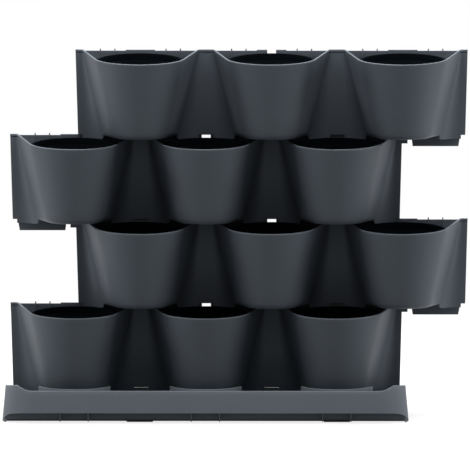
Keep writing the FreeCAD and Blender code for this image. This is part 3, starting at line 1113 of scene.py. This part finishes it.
@dataclass
class FootPads(Moulding):
    """Four flat pads under the tray."""

    title: str = "foot_pads"
    middle: float = 50.0
    spread: float = 150.0
    length: float = 40.0
    depth: float = 18.0
    fronts: Flat = (PLINTH_FRONT, 6.0)
    edge: float = 0.5

    def shape(self) -> None:
        """Add the pads."""
        for side in (-1, 1):
            low = self.middle + side * self.spread - self.length / 2
            for front in self.fronts:
                outline = rectangle((low, low + self.length), (front - self.depth, front))
                self.plate(Plane.LEVEL, outline, PLINTH_FOOT, FLOOR, self.edge)


@dataclass
class Planter:
    """The whole stack: where each piece stands."""

    rows: int = 4
    tray_x: float = -44.75
    valley_y: float = 69.0
    pot_drop: float = 4.4

    def build(self) -> None:
        """Build every piece and put it on its body."""
        plastic = ANTHRACITE_POLYPROPYLENE.material()
        black = BLACK_POLYPROPYLENE.material()
        rubber = BLACK_RUBBER.material()
        # The tray takes the rows' plastic painted a shade lighter, as painted light.
        tray_painted_light = PAINTED_LIGHT_POLYPROPYLENE.material()
        base = (self.tray_x, self.valley_y, FLOOR)
        stand("tray", DripTray().mesh(), base, tray_painted_light, "anthracite", "base", "drip_tray")
        stand("pads", FootPads().mesh(), base, rubber, "pads", "base", "foot_pads")
        row_mesh = PlanterRow().mesh()
        pot_mesh = InnerPot().mesh()
        for number in range(1, self.rows + 1):
            above = self.rows - number
            x = self.tray_x + PITCH / 2 * (above % 2)
            rim = FLOOR + above * SEAT
            stand(f"row_{number}_moulding", row_mesh, (x, self.valley_y, rim), plastic, "anthracite",
                  f"row_{number}", f"planter_row_{number}")
            for place in Place:
                name = place.name.lower()
                body = f"pot_{number}_{name}" if number == 1 else f"row_{number}"
                spot = (x + place.value * PITCH, self.valley_y - CUP_AXIS, rim - self.pot_drop)
                stand(f"pot_{number}_{name}_liner", pot_mesh, spot, black, "black", body,
                      f"inner_pot_{number}_{name}")


@dataclass(frozen=True)
class Softbox:
    """Rectangular lamp: its place, and its width and height, in metres, and its power in watts."""

    name: str
    place: Spot
    size: Flat
    power: float

    def add(self, aim: Spot) -> None:
        """Add the lamp to the scene.

        Args:
            aim: the point that it faces, in metres.
        """
        data = bpy.data.lights.new(self.name, "AREA")
        data.shape = "RECTANGLE"
        data.size, data.size_y = self.size
        data.energy = self.power
        lamp = bpy.data.objects.new(self.name, data)
        bpy.context.scene.collection.objects.link(lamp)
        lamp.location = self.place
        lamp.rotation_euler = (Vector(aim) - Vector(self.place)).to_track_quat("-Z", "Y").to_euler()


# One each side for the flanks, one above, one behind for the rims, and a weak one in front.
SOFTBOXES = (Softbox("left_box", (-1.7, -0.1, 0.45), (0.6, 1.4), 13.0),
             Softbox("right_box", (1.7, -0.1, 0.45), (0.6, 1.4), 13.0),
             Softbox("top_box", (0.0, -0.75, 2.4), (3.2, 0.8), 74.0),
             Softbox("rim_box", (0.0, 0.9, 2.3), (2.4, 0.6), 150.0),
             Softbox("front_box", (0.0, -2.4, 1.3), (2.0, 1.0), 4.5))


@dataclass
class Studio:
    """White floor and surround, five softboxes, and the photograph's long lens.

    The camera's target is in millimetres, as the planter is, and the other lengths are metres.
    """

    target: Spot = (-0.1, 0.0, 277.95)
    azimuth: float = math.radians(0.6)
    elevation: float = math.radians(9.85)
    roll: float = math.radians(-0.07)
    distance: float = 33.0
    view_width: float = 0.716
    clip_end: float = 100.0
    light_aim: Spot = (0.0, 0.0, 0.28)
    floor_size: float = 1.8
    floor_tone: str = "#727272"
    floor_lift: float = 0.8
    room_light: float = 0.105

    def camera(self) -> None:
        """Set the camera at the photograph's angle."""
        data = bpy.data.cameras.new("camera")
        camera = bpy.data.objects.new("camera", data)
        bpy.context.scene.collection.objects.link(camera)
        level_part = math.cos(self.elevation)
        back = Vector((math.sin(self.azimuth) * level_part, -math.cos(self.azimuth) * level_part,
                       math.sin(self.elevation)))
        camera.location = Vector(self.target) * MM + back * self.distance
        level = (-back).to_track_quat("-Z", "Y")
        camera.rotation_euler = (level @ Quaternion((0.0, 0.0, 1.0), self.roll)).to_euler()
        data.lens = data.sensor_width * self.distance / self.view_width
        data.clip_end = self.clip_end
        bpy.context.scene.camera = camera

    @staticmethod
    def shown(tree: bpy.types.NodeTree) -> bpy.types.NodeSocket:
        """Tell rays that show the background from rays that light the planter.

        Args:
            tree: the node tree that asks.

        Returns:
            An output that is 1 for rays from the camera, a reflection or a clear piece.
        """
        ray = add_node(tree, "ShaderNodeLightPath").outputs
        mirrored = add_node(tree, "ShaderNodeMath",
                            {0: ray["Is Glossy Ray"], 1: ray["Is Transmission Ray"]}, operation="MAXIMUM")
        either = add_node(tree, "ShaderNodeMath",
                          {0: ray["Is Camera Ray"], 1: mirrored.outputs[0]}, operation="MAXIMUM")
        return either.outputs[0]

    def surround(self) -> None:
        """Make the world: white where it is seen, and dim where it lights the planter."""
        world = bpy.data.worlds.new("surround")
        bpy.context.scene.world = world
        tree = fresh_tree(world)
        room = add_node(tree, "ShaderNodeBackground", {"Color": linear(WHITE), "Strength": self.room_light})
        white = add_node(tree, "ShaderNodeBackground", {"Color": linear(WHITE), "Strength": 1.0})
        both = add_node(tree, "ShaderNodeMixShader",
                        {0: self.shown(tree), 1: room.outputs[0], 2: white.outputs[0]})
        add_node(tree, "ShaderNodeOutputWorld", {"Surface": both.outputs[0]})

    def floor(self) -> None:
        """Lay the floor: its paint keeps the planter's shadow, and its glow makes up the white."""
        half = self.floor_size / 2
        mesh = bpy.data.meshes.new("floor")
        corners = rectangle((-half, half), (-half, half))
        mesh.from_pydata([(x, y, 0) for x, y in corners], [], [(0, 1, 2, 3)])
        floor = bpy.data.objects.new("floor", mesh)
        bpy.context.scene.collection.objects.link(floor)
        mat = bpy.data.materials.new("white_floor")
        tree = fresh_tree(mat)
        glow = add_node(tree, "ShaderNodeMath", {0: self.shown(tree), 1: self.floor_lift},
                        operation="MULTIPLY")
        paint = add_node(tree, "ShaderNodeBsdfDiffuse", {"Color": linear(self.floor_tone)})
        lift = add_node(tree, "ShaderNodeEmission", {"Color": linear(WHITE), "Strength": glow.outputs[0]})
        both = add_node(tree, "ShaderNodeAddShader", {0: paint.outputs[0], 1: lift.outputs[0]})
        add_node(tree, "ShaderNodeOutputMaterial", {"Surface": both.outputs[0]})
        mesh.materials.append(mat)

    def build(self) -> None:
        """Set the surround, the floor, the lights and the camera."""
        bpy.context.scene.view_settings.view_transform = "Standard"
        self.surround()
        self.floor()
        for lamp in SOFTBOXES:
            lamp.add(self.light_aim)
        self.camera()


def main() -> None:
    """Build the planter in its frame and light it."""
    logging.basicConfig(level=logging.INFO)
    for leftover in list(bpy.data.objects):
        bpy.data.objects.remove(leftover)
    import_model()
    Studio().build()
    Planter().build()
    bpy.context.view_layer.update()


if __name__ == "__main__":
    main()
